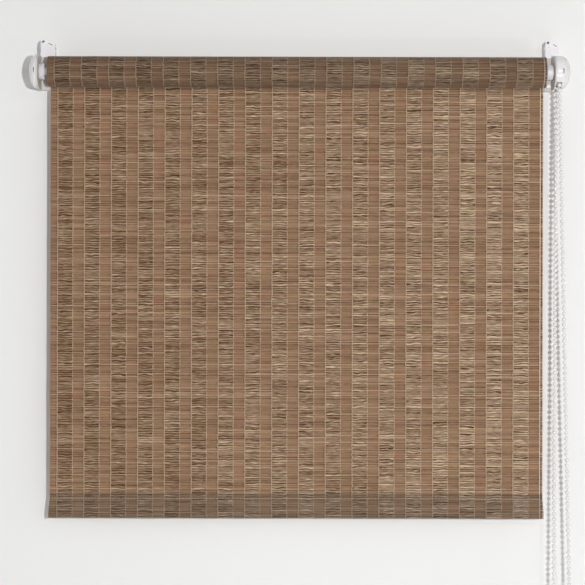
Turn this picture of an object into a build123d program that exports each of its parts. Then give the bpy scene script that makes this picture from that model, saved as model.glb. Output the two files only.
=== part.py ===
from build123d import *
from math import cos, pi, sin, sqrt
import os

# A small roller blind with a woven reed and bamboo fabric, hung on two clamps that hook over a window
# sash, and worked by a bead chain at its right-hand end. All lengths are in millimetres.
# X runs along the roller, Y runs into the window and Z is up. The origin lies on the sash, on its
# front face and at its top edge, half-way along the fabric.

# Fabric
fabric_width = 550.0
fabric_thickness = 0.7
roll_radius = 17.1  # outside of the wound fabric
hem_drop = 496.0  # roller axis to the bottom of the hem
warp_repeat = 30.0  # one open band and one close band
open_band_width = 16.8  # band where the reeds show between the warp threads
first_band = 8.0  # left edge of the fabric to the first open band
warp_ridge_width = 0.9
warp_ridge_height = 0.15
gap_height = 1.3  # slit between two reeds
gaps_per_band = 6
gap_stagger = 0.25  # shift of the slits up and down from band to band, as a share of their pitch
turn_groove = 0.35  # width and depth of the grooves that mark the turns on the roll's ends
marked_turns = 3

# Hem
hem_height = 27.5
seam_height = 22.0  # bottom of the hem to the seam
hem_overhang = 0.9  # the folded hem spreads past the sheet at each side
bar_height = 18.0
bar_thickness = 3.0
bar_inset = 4.0  # fabric edge to the end of the bar's cap
bar_cap_length = 6.0
bar_cap_wall = 0.75
bar_clearance = 0.2

# Roller
tube_radius = 9.0
tube_wall = 1.0
tube_overhang = 1.3  # tube past the fabric at each end
tube_fit = 0.05  # radial play of the two plugs in the tube
plug_depth = 18.0
roll_clearance = 0.3  # fabric roll to the sheet behind it

# Brackets and the clamps that carry them
axis_reach = 21.0  # roller axis to the front of the sash
axis_drop = 28.5  # roller axis below the top of the sash
bracket_radius = 18.5
plate_thickness = 1.5
back_thickness = 1.2
hook_thickness = 1.2
hook_width = 16.0
hook_top = 6.5  # top of the hook's front plate above the sash
web_length = 12.0
rail_height = 2.6
rail_width = 1.2
left_hook_lap = 4.2  # the left hook reaches behind the fabric's end
right_hook_gap = 3.4  # fabric's end to the right hook

# Clamp jaws and their screws
sash_thickness = 20.0
jaw_thickness = 1.6
jaw_drop = 14.0
jaw_block_height = 5.0
jaw_clearance = 0.25
jaw_start = 7.5  # front of the jaw's block behind the sash's face
pad_thickness = 1.0
screw_radius = 1.95
screw_length = 16.0
screw_height = 3.9
screw_offset = 3.6  # screw to the left of the hook's middle
screw_head_radius = 2.5
screw_head_height = 1.4
slot_width = 0.8
thread_fit = 0.05

# Small screws that hold each bracket on its hook
fix_screw_radius = 1.45
fix_head_radius = 2.3
fix_head_height = 1.2
fix_screw_drop = 13.5  # below the roller axis

# Idle end
idle_room = 10.5  # fabric's end to the left bracket
left_cover_depth = 3.0
left_dome = 5.2
idle_flange_radius = 8.8
idle_gap = 0.5
pin_radius = 2.5
pin_fit = 0.05
boss_radius = 5.5
boss_length = 4.0
pin_gap = 0.4  # boss to the floor of the left cover

# Drive end
drive_room = 8.5  # fabric's end to the right bracket
right_cover_depth = 6.7
right_dome = 10.5
cover_bore = 16.0  # radius of the room inside each cover
slope_share = 0.8  # radius of the cover's second slope as a share of its rim
crown_share = 0.42  # radius of its flat crown, as the same share
exit_margin = 1.5  # chain to the side of its way out of the cover
drive_flange_radius = 8.5
drive_gap = 0.6
sleeve_radius = 5.2
sleeve_hole_gap = 0.4
core_radius = 3.95
core_fit = 0.05
core_flange_radius = 9.0
core_flange = 1.6
core_setback = 1.5  # inner end of the plug to the tip of the core
spring_setback = 1.5  # tip of the core to the spring
spring_wall = 1.1
spring_length = 11.0
catch_height = 5.2  # slit in each cover that takes the snap of its bracket
catch_width = 1.3
catch_depth = 3.6
right_catch_lead = 2.6  # shoulder of the right cover to its slit

# Bead chain
bead_pitch = 6.0
bead_radius = 2.25
barrel_radius = 2.14  # flats of a bead, which is drawn with six corners
barrel_half = 0.95  # half of its straight middle
pocket_count = 12
pocket_clearance = 0.2
wheel_width = 6.4
wheel_rim = 1.6  # rim of the wheel outside the pitch circle
wheel_gap = 0.3
string_width = 1.1
string_groove = 1.6
chain_drop = 606.0  # roller axis to the middle of the loop's lower bend
chain_front_lead = 14.5  # front strand at the lower bend, outward of the wheel
chain_back_lead = 3.5  # back strand at the lower bend, inward of the wheel
connector_length = 12.8
connector_width = 6.4
connector_lift = 20.0  # from the lower bend to the middle of the connector

# Worked out from the values above
half_fabric = fabric_width / 2
band_count = int((fabric_width - first_band - open_band_width) // warp_repeat) + 1
left_plate_x = -half_fabric - idle_room
right_plate_x = half_fabric + drive_room
left_hook_edge = -half_fabric + left_hook_lap
right_hook_edge = half_fabric + right_hook_gap
axis_y = -axis_reach
axis_z = -axis_drop
sheet_y = axis_y + roll_radius + roll_clearance + warp_ridge_height + fabric_thickness / 2
hem_bottom = axis_z - hem_drop
hem_top = hem_bottom + hem_height
tube_end = half_fabric + tube_overhang
tube_bore = tube_radius - tube_wall
plug_radius = tube_bore - tube_fit
right_plate_back = right_plate_x + plate_thickness
left_plate_back = left_plate_x - plate_thickness
pitch_radius = pocket_count * bead_pitch / (2 * pi)
wheel_radius = pitch_radius + wheel_rim
chain_x = right_plate_back + wheel_gap + wheel_width / 2
chain_front_x = chain_x + chain_front_lead
chain_back_x = chain_x - chain_back_lead
wheel_left = chain_x - wheel_width / 2
wheel_right = chain_x + wheel_width / 2
left_hook_middle = left_hook_edge - hook_width / 2
right_hook_middle = right_hook_edge + hook_width / 2

roller_line = Axis((0, axis_y, axis_z), (1, 0, 0))
across = Plane(origin=(0, axis_y, axis_z), x_dir=(0, 1, 0), z_dir=(1, 0, 0))  # offset along the roller
along = Plane(origin=(0, axis_y, axis_z), x_dir=(1, 0, 0), z_dir=(0, -1, 0))  # half section to revolve

os.makedirs("parts", exist_ok=True)


def save(part, name):
    part.label = name
    export_step(part, f"parts/{name}.step")


# Roller tube
with BuildPart() as roller_tube:
    with BuildSketch(across.offset(-tube_end)):
        Circle(tube_radius)
        Circle(tube_bore, mode=Mode.SUBTRACT)
    extrude(amount=2 * tube_end)
save(roller_tube.part, "roller_tube")

# Wound fabric, all its turns as one solid, with grooves on both ends that mark some of the turns
with BuildPart() as fabric_roll:
    with BuildSketch(across.offset(-half_fabric)):
        Circle(roll_radius)
        Circle(tube_radius, mode=Mode.SUBTRACT)
    extrude(amount=fabric_width)
    turn_step = (roll_radius - tube_radius) / (marked_turns + 1)
    for side in (-1, 1):
        with BuildSketch(across.offset(side * half_fabric)):
            for turn in range(1, marked_turns + 1):
                groove_radius = tube_radius + turn * turn_step
                Circle(groove_radius + turn_groove / 2)
                Circle(groove_radius - turn_groove / 2, mode=Mode.SUBTRACT)
        extrude(amount=-side * turn_groove, mode=Mode.SUBTRACT)
save(fabric_roll.part, "fabric_roll")

# Hanging sheet: one wall with a ridge at each warp line, and slits between the reeds of the open bands
sheet_drop = axis_z - hem_top
band_starts = [first_band + band * warp_repeat for band in range(band_count)]
warp_lines = [edge - half_fabric for start in band_starts for edge in (start, start + open_band_width)]
selvedge_line = half_fabric - warp_ridge_width
gap_pitch = sheet_drop / gaps_per_band
with BuildPart() as fabric_sheet:
    with BuildSketch(Plane.XY.offset(hem_top)):
        with Locations((0, sheet_y)):
            Rectangle(fabric_width, fabric_thickness)
        with Locations([(x, sheet_y) for x in warp_lines + [selvedge_line]]):
            Rectangle(warp_ridge_width, fabric_thickness + 2 * warp_ridge_height)
    extrude(amount=sheet_drop)
    with BuildSketch(Plane.XZ.offset(-sheet_y)):
        for band, start in enumerate(band_starts):
            stagger = gap_stagger * (-1) ** band
            heights = [hem_top + (gap + 0.5 + stagger) * gap_pitch for gap in range(gaps_per_band)]
            band_middle = start + open_band_width / 2 - half_fabric
            with Locations([(band_middle, height) for height in heights]):
                Rectangle(open_band_width - 2 * warp_ridge_width, gap_height)
    extrude(amount=fabric_thickness, both=True, mode=Mode.SUBTRACT)
save(fabric_sheet.part, "fabric_sheet")

# Folded hem: a pocket closed by the seam, and a double layer above it
pocket_height = bar_height + 2 * bar_clearance
pocket_thickness = bar_thickness + 2 * bar_clearance
pocket_outside = pocket_thickness / 2 + fabric_thickness
pocket_middle = hem_bottom + fabric_thickness + pocket_height / 2
hem_profile = [
    (fabric_thickness, hem_top),
    (fabric_thickness, hem_bottom + seam_height),
    (pocket_outside, pocket_middle + pocket_height / 3),
    (pocket_outside, hem_bottom + pocket_outside),
]
with BuildPart() as hem_pocket:
    with BuildSketch(Plane.YZ.offset(-half_fabric - hem_overhang)):
        with BuildLine():
            back_side = [(sheet_y + out, height) for out, height in hem_profile]
            front_side = [(sheet_y - out, height) for out, height in hem_profile]
            Polyline(*back_side)
            ThreePointArc(back_side[-1], (sheet_y, hem_bottom), front_side[-1])
            Polyline(*front_side)
            Line(back_side[0], front_side[0])
        make_face()
        with Locations((sheet_y, pocket_middle)):
            SlotOverall(pocket_height, pocket_thickness, rotation=90, mode=Mode.SUBTRACT)
    extrude(amount=fabric_width + 2 * hem_overhang)
save(hem_pocket.part, "hem_pocket")

# Bottom bar and the cap on each of its ends
bar_end = half_fabric - bar_inset - bar_cap_length / 2
with BuildPart() as bottom_bar:
    with BuildSketch(Plane.YZ.offset(-bar_end)):
        with Locations((sheet_y, pocket_middle)):
            SlotOverall(bar_height - 2 * bar_cap_wall, bar_thickness - 2 * bar_cap_wall, rotation=90)
    extrude(amount=2 * bar_end)
save(bottom_bar.part, "bottom_bar")

for name, side in (("left_bar_cap", -1), ("right_bar_cap", 1)):
    with BuildPart() as bar_cap:
        with BuildSketch(Plane.YZ.offset(side * (half_fabric - bar_inset))):
            with Locations((sheet_y, pocket_middle)):
                SlotOverall(bar_height, bar_thickness, rotation=90)
        extrude(amount=-side * bar_cap_length)
        with BuildSketch(Plane.YZ.offset(side * bar_end)):
            with Locations((sheet_y, pocket_middle)):
                SlotOverall(bar_height - 2 * bar_cap_wall, bar_thickness - 2 * bar_cap_wall, rotation=90)
        extrude(amount=-side * bar_cap_length, mode=Mode.SUBTRACT)
    save(bar_cap.part, name)

# Idle plug: a body inside the tube, a collar outside it, and a bore for the pin
idle_collar_end = left_plate_x + idle_gap
with BuildPart() as idle_plug:
    with BuildSketch(across.offset(-tube_end)):
        Circle(plug_radius)
    extrude(amount=plug_depth)
    with BuildSketch(across.offset(-tube_end)):
        Circle(idle_flange_radius)
    extrude(amount=idle_collar_end + tube_end)
    chamfer(idle_plug.edges().filter_by(GeomType.CIRCLE).group_by(Axis.X)[0], 0.5)
    with BuildSketch(across.offset(idle_collar_end)):
        Circle(pin_radius)
    extrude(amount=plug_depth, mode=Mode.SUBTRACT)
save(idle_plug.part, "idle_plug")

# Idle pin, fast in the plug and turning in the boss of the left bracket
with BuildPart() as idle_pin:
    with BuildSketch(across.offset(left_plate_back - boss_length)):
        Circle(pin_radius)
    extrude(amount=idle_collar_end - left_plate_back + boss_length + plug_depth)
    chamfer(idle_pin.edges().group_by(Axis.X)[0], 0.4)
save(idle_pin.part, "idle_pin")

# Outline of both brackets' side plates: round in front and square at the back
with BuildSketch() as side_outline:
    Circle(bracket_radius)
    with Locations(((axis_reach - hook_thickness) / 2, 0)):
        Rectangle(axis_reach - hook_thickness, 2 * bracket_radius)

# Left bracket with the bearing boss for the idle pin
fix_screw_z = axis_z - fix_screw_drop
left_fix_x = (left_plate_x + left_hook_edge) / 2
with BuildPart() as left_bracket:
    with BuildSketch(across.offset(left_plate_x)):
        add(side_outline.sketch)
    extrude(amount=-plate_thickness)
    with BuildSketch(Plane.XZ.offset(hook_thickness)):
        with Locations(((left_plate_back + left_hook_edge) / 2, axis_z)):
            Rectangle(left_hook_edge - left_plate_back, 2 * bracket_radius)
    extrude(amount=back_thickness)
    with BuildSketch(across.offset(left_plate_back)):
        Circle(boss_radius)
    extrude(amount=-boss_length)
    with BuildSketch(across.offset(left_plate_x)):
        Circle(pin_radius + pin_fit)
    extrude(amount=-(plate_thickness + boss_length), mode=Mode.SUBTRACT)
    with Locations(Plane(origin=(left_fix_x, -hook_thickness, fix_screw_z), z_dir=(0, -1, 0))):
        Hole(fix_screw_radius + thread_fit)
save(left_bracket.part, "left_bracket")

# Right bracket, open in the middle for the wheel's sleeve
right_fix_x = (right_hook_edge + right_plate_x) / 2
with BuildPart() as right_bracket:
    with BuildSketch(across.offset(right_plate_x)):
        add(side_outline.sketch)
    extrude(amount=plate_thickness)
    with BuildSketch(Plane.XZ.offset(hook_thickness)):
        with Locations(((right_hook_edge + right_plate_back) / 2, axis_z)):
            Rectangle(right_plate_back - right_hook_edge, 2 * bracket_radius)
    extrude(amount=back_thickness)
    with BuildSketch(across.offset(right_plate_x)):
        Circle(sleeve_radius + sleeve_hole_gap)
    extrude(amount=plate_thickness, mode=Mode.SUBTRACT)
    with Locations(Plane(origin=(right_fix_x, -hook_thickness, fix_screw_z), z_dir=(0, -1, 0))):
        Hole(fix_screw_radius + thread_fit)
save(right_bracket.part, "right_bracket")


def dome_section(seat_x, depth, dome, floor_x, side):
    # Half section of a cover: a straight rim, two slopes to a flat crown, and a bore with a flat floor
    shoulder = seat_x + side * depth
    slope_radius = bracket_radius * slope_share
    crown_radius = bracket_radius * crown_share
    slope_x = shoulder + side * dome * sqrt(1 - slope_share**2)
    return [
        (seat_x, cover_bore),
        (seat_x, bracket_radius),
        (shoulder, bracket_radius),
        (slope_x, slope_radius),
        (shoulder + side * dome, crown_radius),
        (shoulder + side * dome, 0),
        (floor_x, 0),
        (floor_x, cover_bore),
        (seat_x, cover_bore),
    ]


# Left cover, with the slit of its snap catch
with BuildPart() as left_cover:
    with BuildSketch(along):
        with BuildLine():
            left_floor = left_plate_back - boss_length - pin_gap
            Polyline(*dome_section(left_plate_back, left_cover_depth, left_dome, left_floor, -1))
        make_face()
    revolve(axis=roller_line)
    with Locations((left_plate_back - left_cover_depth, axis_y - bracket_radius, axis_z)):
        Box(catch_width, 2 * catch_depth, catch_height, mode=Mode.SUBTRACT)
save(left_cover.part, "left_cover")

# Right cover over the chain wheel, open below for both strands of the chain
with BuildPart() as right_cover:
    with BuildSketch(along):
        with BuildLine():
            core_seat = wheel_right + wheel_gap + core_flange
            Polyline(*dome_section(right_plate_back, right_cover_depth, right_dome, core_seat, 1))
        make_face()
    revolve(axis=roller_line)
    with BuildSketch(across.offset(right_plate_back)):
        with Locations((0, -bracket_radius)):
            Rectangle(2 * (pitch_radius + bead_radius + exit_margin), bracket_radius)
    extrude(amount=wheel_width + 2 * wheel_gap, mode=Mode.SUBTRACT)
    right_catch_x = right_plate_back + right_cover_depth + right_catch_lead
    with Locations((right_catch_x, axis_y - bracket_radius, axis_z)):
        Box(catch_width, 2 * catch_depth, catch_height, mode=Mode.SUBTRACT)
save(right_cover.part, "right_cover")

# Clutch core: a fixed spindle through the wheel, with a flange that seats on the cover's boss
core_tip = tube_end - plug_depth + core_setback
with BuildPart() as clutch_core:
    with BuildSketch(across.offset(core_tip)):
        Circle(core_radius)
    extrude(amount=core_seat - core_tip)
    with BuildSketch(across.offset(core_seat - core_flange)):
        Circle(core_flange_radius)
    extrude(amount=core_flange)
save(clutch_core.part, "clutch_core")

# Wrap spring of the clutch, close wound on the core, taken as one sleeve
spring_start = core_tip + spring_setback
with BuildPart() as clutch_spring:
    with BuildSketch(across.offset(spring_start)):
        Circle(core_radius + spring_wall)
        Circle(core_radius, mode=Mode.SUBTRACT)
    extrude(amount=spring_length)
save(clutch_spring.part, "clutch_spring")

# Drive hub: plugs into the tube, with a room for the spring and a bore for the wheel's sleeve
drive_collar_end = right_plate_x - drive_gap
sleeve_tip = spring_start + spring_length + drive_gap
with BuildPart() as drive_hub:
    with BuildSketch(across.offset(tube_end)):
        Circle(plug_radius)
    extrude(amount=-plug_depth)
    with BuildSketch(across.offset(tube_end)):
        Circle(drive_flange_radius)
    extrude(amount=drive_collar_end - tube_end)
    chamfer(drive_hub.edges().filter_by(GeomType.CIRCLE).group_by(Axis.X)[-1], 0.5)
    with BuildSketch(across.offset(tube_end - plug_depth)):
        Circle(core_radius + spring_wall + drive_gap)
    extrude(amount=sleeve_tip - tube_end + plug_depth, mode=Mode.SUBTRACT)
    with BuildSketch(across.offset(sleeve_tip)):
        Circle(sleeve_radius)
    extrude(amount=drive_collar_end - sleeve_tip, mode=Mode.SUBTRACT)
save(drive_hub.part, "drive_hub")

# Chain wheel: twelve bead pockets and a string groove, with a sleeve that drives the hub
with BuildPart() as chain_wheel:
    with BuildSketch(across.offset(wheel_left)):
        Circle(wheel_radius)
    extrude(amount=wheel_width)
    with BuildSketch(across.offset(sleeve_tip)):
        Circle(sleeve_radius)
    extrude(amount=wheel_left - sleeve_tip)
    with BuildSketch(across.offset(sleeve_tip)):
        Circle(core_radius + core_fit)
    extrude(amount=wheel_right - sleeve_tip, mode=Mode.SUBTRACT)
    with BuildSketch(across.offset(chain_x - string_groove / 2)):
        Circle(wheel_radius)
        Circle(pitch_radius * cos(pi / pocket_count) - string_width, mode=Mode.SUBTRACT)
    extrude(amount=string_groove, mode=Mode.SUBTRACT)
    pocket_floor = pitch_radius - bead_radius - pocket_clearance
    for pocket in range(pocket_count):
        turn = 2 * pi * pocket / pocket_count
        outward = Vector(0, cos(turn), sin(turn))
        pocket_start = Vector(chain_x, axis_y, axis_z) + outward * pocket_floor
        with BuildSketch(Plane(origin=pocket_start, x_dir=(1, 0, 0), z_dir=outward)):
            RegularPolygon(bead_radius + pocket_clearance, 6, major_radius=False)
        extrude(amount=wheel_radius, mode=Mode.SUBTRACT)
save(chain_wheel.part, "chain_wheel")


def chain_route(drop, start_lift):
    # Closed route of the chain: up the back strand, over the wheel, down the front strand and round
    bend_z = axis_z - drop
    bend_radius = (chain_front_x - chain_back_x) / 2
    start = Vector(chain_back_x, axis_y, bend_z + start_lift)
    back_wheel = Vector(chain_x, axis_y + pitch_radius, axis_z)
    top_wheel = Vector(chain_x, axis_y, axis_z + pitch_radius)
    front_wheel = Vector(chain_x, axis_y - pitch_radius, axis_z)
    front_end = Vector(chain_front_x, axis_y, bend_z)
    bottom = Vector((chain_front_x + chain_back_x) / 2, axis_y, bend_z - bend_radius)
    back_end = Vector(chain_back_x, axis_y, bend_z)
    reach = Vector(0, 0, drop / 8)
    return [
        Bezier(start, start + reach, back_wheel - reach, back_wheel),
        ThreePointArc(back_wheel, top_wheel, front_wheel),
        Bezier(front_wheel, front_wheel - reach, front_end + reach, front_end),
        ThreePointArc(front_end, bottom, back_end),
        Line(back_end, start),
    ]


# The loop holds a whole number of beads, half a pitch is left each side of its joint in the connector,
# and a bead sits in each pocket that the chain covers
first_route = chain_route(chain_drop, connector_lift)
first_length = sum(edge.length for edge in first_route)
bead_count = round(first_length / bead_pitch)
loop_drop = chain_drop + (bead_count * bead_pitch - first_length) / 2
to_top_pocket = chain_route(loop_drop, connector_lift)[0].length + pi * pitch_radius / 2
joint_lift = connector_lift + to_top_pocket % bead_pitch - bead_pitch / 2
loop_route = chain_route(loop_drop, joint_lift)
joint_z = axis_z - loop_drop + joint_lift


def place_on_route(distance):
    # Point and direction of the route at a distance from its joint
    for edge in loop_route:
        if distance <= edge.length:
            break
        distance -= edge.length
    share = min(distance / edge.length, 1)
    return edge @ share, edge % share


def ring(centre, forward, side, radius, corners):
    upward = forward.cross(side)
    turns = [2 * pi * corner / corners for corner in range(corners)]
    return [centre + side * (radius * cos(turn)) + upward * (radius * sin(turn)) for turn in turns]


def cone_faces(neck, barrel):
    # Triangles between a three-cornered neck of string and a bead's six-cornered barrel
    outlines = []
    for corner in range(3):
        beside = (corner + 1) % 3
        first, second, third = (barrel[(2 * corner + step) % 6] for step in range(3))
        outlines.append([neck[corner], first, second])
        outlines.append([neck[corner], second, neck[beside]])
        outlines.append([neck[beside], second, third])
    return outlines


# Bead chain: six-cornered beads moulded on one string, laid along the route as a single solid
chain_outlines = []
side = Vector(1, 0, 0)
last_neck = None
for bead in range(bead_count):
    centre, forward = place_on_route((bead + 0.5) * bead_pitch)
    side = (side - forward * side.dot(forward)).normalized()
    low_neck = ring(centre - forward * bead_radius, forward, side, string_width / 2, 3)
    low = ring(centre - forward * barrel_half, forward, side, barrel_radius, 6)
    high = ring(centre + forward * barrel_half, forward, side, barrel_radius, 6)
    high_neck = ring(centre + forward * bead_radius, forward, side, string_width / 2, 3)
    chain_outlines += cone_faces(low_neck, low) + cone_faces(high_neck, high)
    chain_outlines += [[low[k], low[(k + 1) % 6], high[(k + 1) % 6], high[k]] for k in range(6)]
    if last_neck is None:
        chain_outlines.append(low_neck)
    else:
        for k in range(3):
            after = (k + 1) % 3
            chain_outlines.append([last_neck[k], last_neck[after], low_neck[k]])
            chain_outlines.append([last_neck[after], low_neck[after], low_neck[k]])
    last_neck = high_neck
chain_outlines.append(last_neck)
with BuildPart() as bead_chain:
    add(Solid(Shell([Face(Wire.make_polygon(outline)) for outline in chain_outlines])))
save(bead_chain.part, "bead_chain")

# Connector of the chain: a clip with room for the last beads, open on one side
connector_base = joint_z - connector_length / 2
with BuildPart() as chain_connector:
    with BuildSketch(Plane.XY.offset(connector_base)):
        with Locations((chain_back_x, axis_y)):
            RectangleRounded(connector_width, connector_width, 1.5)
    extrude(amount=connector_length)
    clip_room = 2 * (bead_radius + pocket_clearance)
    with BuildSketch(Plane.XY.offset(connector_base + pocket_clearance * 4)):
        with Locations((chain_back_x + (clip_room - connector_width) / 4, axis_y)):
            Rectangle((clip_room + connector_width) / 2, clip_room)
    extrude(amount=connector_length - pocket_clearance * 8, mode=Mode.SUBTRACT)
    with BuildSketch(Plane.XY.offset(connector_base)):
        with Locations((chain_back_x - connector_width / 4, axis_y)):
            Rectangle(connector_width / 2 + string_groove, string_groove)
    extrude(amount=connector_length, mode=Mode.SUBTRACT)
save(chain_connector.part, "chain_connector")

# Each hook, with the jaw, pad and screws that it carries
jaw_width = hook_width - 2 * rail_width - 2 * jaw_clearance
jaw_low = hook_thickness + jaw_clearance
hook_places = {"left": (left_hook_middle, left_fix_x), "right": (right_hook_middle, right_fix_x)}
for side, (hook_middle, fix_x) in hook_places.items():
    screw_start = (hook_middle - screw_offset, -hook_thickness, screw_height)
    screw_line = Plane(origin=screw_start, x_dir=(1, 0, 0), z_dir=(0, -1, 0))
    with BuildPart() as hook:
        with BuildSketch(Plane.XZ):
            with Locations((hook_middle, (hook_top + axis_z - bracket_radius) / 2)):
                Rectangle(hook_width, hook_top - axis_z + bracket_radius)
        extrude(amount=hook_thickness)
        with BuildSketch(Plane.XY):
            with Locations((hook_middle, web_length / 2)):
                Rectangle(hook_width, web_length)
        extrude(amount=hook_thickness)
        with BuildSketch(Plane.XY.offset(hook_thickness)):
            rail_x = (hook_width - rail_width) / 2
            with Locations((hook_middle - rail_x, web_length / 2), (hook_middle + rail_x, web_length / 2)):
                Rectangle(rail_width, web_length)
        extrude(amount=rail_height)
        with Locations(screw_line):
            Hole(screw_radius + thread_fit, depth=hook_thickness)
        with Locations(Plane(origin=(fix_x, -hook_thickness, fix_screw_z), z_dir=(0, -1, 0))):
            Hole(fix_screw_radius + thread_fit)
    save(hook.part, f"{side}_hook")

    with BuildPart() as jaw:
        with BuildSketch(Plane.YZ.offset(hook_middle - jaw_width / 2)):
            with BuildLine():
                rear = sash_thickness + pad_thickness
                Polyline(
                    (jaw_start, jaw_low),
                    (rear, jaw_low),
                    (rear, -jaw_drop),
                    (rear + jaw_thickness, -jaw_drop),
                    (rear + jaw_thickness, jaw_low + jaw_block_height),
                    (jaw_start, jaw_low + jaw_block_height),
                    (jaw_start, jaw_low),
                )
            make_face()
        extrude(amount=jaw_width)
        with Locations(screw_line):
            Hole(screw_radius + thread_fit)
    save(jaw.part, f"{side}_jaw")

    with BuildPart() as pad:
        with BuildSketch(Plane.XZ.offset(-sash_thickness)):
            with Locations((hook_middle, -jaw_drop / 2)):
                Rectangle(jaw_width, jaw_drop - 2 * pad_thickness)
        extrude(amount=-pad_thickness)
    save(pad.part, f"{side}_jaw_pad")

    with BuildPart() as clamp_screw:
        with BuildSketch(screw_line):
            Circle(screw_head_radius)
        extrude(amount=screw_head_height)
        with BuildSketch(screw_line):
            Circle(screw_radius)
        extrude(amount=-screw_length)
        with BuildSketch(screw_line.offset(screw_head_height)):
            Rectangle(2 * screw_head_radius, slot_width)
        extrude(amount=-screw_head_height / 2, mode=Mode.SUBTRACT)
    save(clamp_screw.part, f"{side}_clamp_screw")

    fix_line = Plane(origin=(fix_x, -hook_thickness - back_thickness, fix_screw_z), z_dir=(0, -1, 0))
    with BuildPart() as fix_screw:
        with BuildSketch(fix_line):
            Circle(fix_head_radius)
        extrude(amount=fix_head_height)
        with BuildSketch(fix_line):
            Circle(fix_screw_radius)
        extrude(amount=-(hook_thickness + back_thickness))
    save(fix_screw.part, f"{side}_bracket_screw")

print("beads in the loop:", bead_count)
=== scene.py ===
import math
from bisect import bisect_right
from functools import partial
from itertools import accumulate

import bmesh
import bpy
from mathutils import Matrix, Vector, noise


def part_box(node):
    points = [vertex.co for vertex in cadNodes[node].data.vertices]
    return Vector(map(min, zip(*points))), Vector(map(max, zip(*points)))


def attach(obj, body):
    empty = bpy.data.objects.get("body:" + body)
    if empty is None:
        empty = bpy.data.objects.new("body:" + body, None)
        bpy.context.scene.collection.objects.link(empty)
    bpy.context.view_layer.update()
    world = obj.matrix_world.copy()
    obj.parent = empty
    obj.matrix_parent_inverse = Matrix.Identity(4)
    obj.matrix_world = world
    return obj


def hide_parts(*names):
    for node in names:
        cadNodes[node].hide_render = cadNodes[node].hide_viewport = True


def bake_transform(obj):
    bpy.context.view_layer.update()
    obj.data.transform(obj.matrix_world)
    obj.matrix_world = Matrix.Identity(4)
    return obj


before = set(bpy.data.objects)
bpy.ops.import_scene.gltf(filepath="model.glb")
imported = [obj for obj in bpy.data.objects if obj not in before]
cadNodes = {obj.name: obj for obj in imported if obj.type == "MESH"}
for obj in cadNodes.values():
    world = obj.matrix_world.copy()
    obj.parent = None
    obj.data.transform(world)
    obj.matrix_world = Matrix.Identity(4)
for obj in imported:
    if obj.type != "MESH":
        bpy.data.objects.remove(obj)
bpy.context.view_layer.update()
mm = 0.001

# where the cloth and the roller lie, as the CAD nodes give it
tubeLow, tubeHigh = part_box("roller_tube")
rollLow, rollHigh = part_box("fabric_roll")
hemLow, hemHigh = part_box("hem_pocket")
sheetLow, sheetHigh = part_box("fabric_sheet")
axisY = (tubeLow.y + tubeHigh.y) / 2
axisZ = (tubeLow.z + tubeHigh.z) / 2
sheetMiddle = (sheetLow.y + sheetHigh.y) / 2
tubeRadius = (tubeHigh.z - tubeLow.z) / 2 / mm
rollRadius = (rollHigh.z - rollLow.z) / 2 / mm


# small helpers for meshes
def paint(red, green, blue):
    # screen colour 0 to 255 to the linear values that nodes want
    out = []
    for part in (red, green, blue):
        share = part / 255
        out.append(share / 12.92 if share <= 0.04045 else ((share + 0.055) / 1.055) ** 2.4)
    return (*out, 1.0)


def inMetres(points):
    return [tuple(value * mm for value in point) for point in points]


def between(value, low, high):
    return min(max(value, low), high)


def mendMesh(mesh, joinReach=0.0):
    # join points that lie together, where a reach is given, and turn the faces outward
    tool = bmesh.new()
    tool.from_mesh(mesh)
    if joinReach:
        bmesh.ops.remove_doubles(tool, verts=tool.verts, dist=joinReach)
    bmesh.ops.recalc_face_normals(tool, faces=tool.faces)
    tool.to_mesh(mesh)
    tool.free()


def shadeSoft(mesh, sharpAngle=35):
    # smooth shading, with edges above the angle left crisp
    mesh.shade_smooth()
    mesh.set_sharp_from_angle(angle=math.radians(sharpAngle))


def makePiece(name, points, faces, material, sharpAngle=35):
    mesh = bpy.data.meshes.new(name)
    mesh.from_pydata([tuple(p) for p in points], [], faces)
    mesh.validate()
    mendMesh(mesh)
    shadeSoft(mesh, sharpAngle)
    piece = bpy.data.objects.new(name, mesh)
    bpy.context.scene.collection.objects.link(piece)
    mesh.materials.append(material)
    return piece


def turnOnRoller(profile, steps):
    # points and faces of a profile of (x, radius) in mm, turned about the roller's axis
    points, faces = [], []
    count = len(profile)
    for step in range(steps):
        turn = 2 * math.pi * step / steps
        for x, radius in profile:
            reach = radius * mm
            points.append((x * mm, axisY + reach * math.cos(turn), axisZ + reach * math.sin(turn)))
    for step in range(steps):
        here, after = step * count, (step + 1) % steps * count
        faces += [(here + k, here + k + 1, after + k + 1, after + k) for k in range(count - 1)]
    return points, faces


def ringsToFaces(base, rings, sides):
    # faces between rings of points that follow one another
    faces = []
    for ring in range(rings - 1):
        here = base + ring * sides
        for side in range(sides):
            after = (side + 1) % sides
            faces.append((here + side, here + after, here + sides + after, here + sides + side))
    return faces


def gridToFaces(base, wide, tall):
    # faces between rows of points
    starts = [base + row * wide + column for row in range(tall - 1) for column in range(wide - 1)]
    return [(a, a + 1, a + wide + 1, a + wide) for a in starts]


def readMesh(piece):
    # the piece's mesh as its modifiers leave it
    bpy.context.view_layer.update()
    return bpy.data.meshes.new_from_object(piece.evaluated_get(bpy.context.evaluated_depsgraph_get()))


def cutAway(piece, cutters):
    # take closed shapes, each given as points in mm and faces, out of a piece
    for points, faces in cutters:
        mesh = bpy.data.meshes.new("cutter")
        mesh.from_pydata(inMetres(points), [], faces)
        mendMesh(mesh)
        cutter = bpy.data.objects.new("cutter", mesh)
        bpy.context.scene.collection.objects.link(cutter)
        cut = piece.modifiers.new("cut", "BOOLEAN")
        cut.object = cutter
        cut.solver = "EXACT"
        result = readMesh(piece)
        piece.modifiers.clear()
        piece.data = result
        bpy.data.objects.remove(cutter)
    shadeSoft(piece.data)


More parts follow.
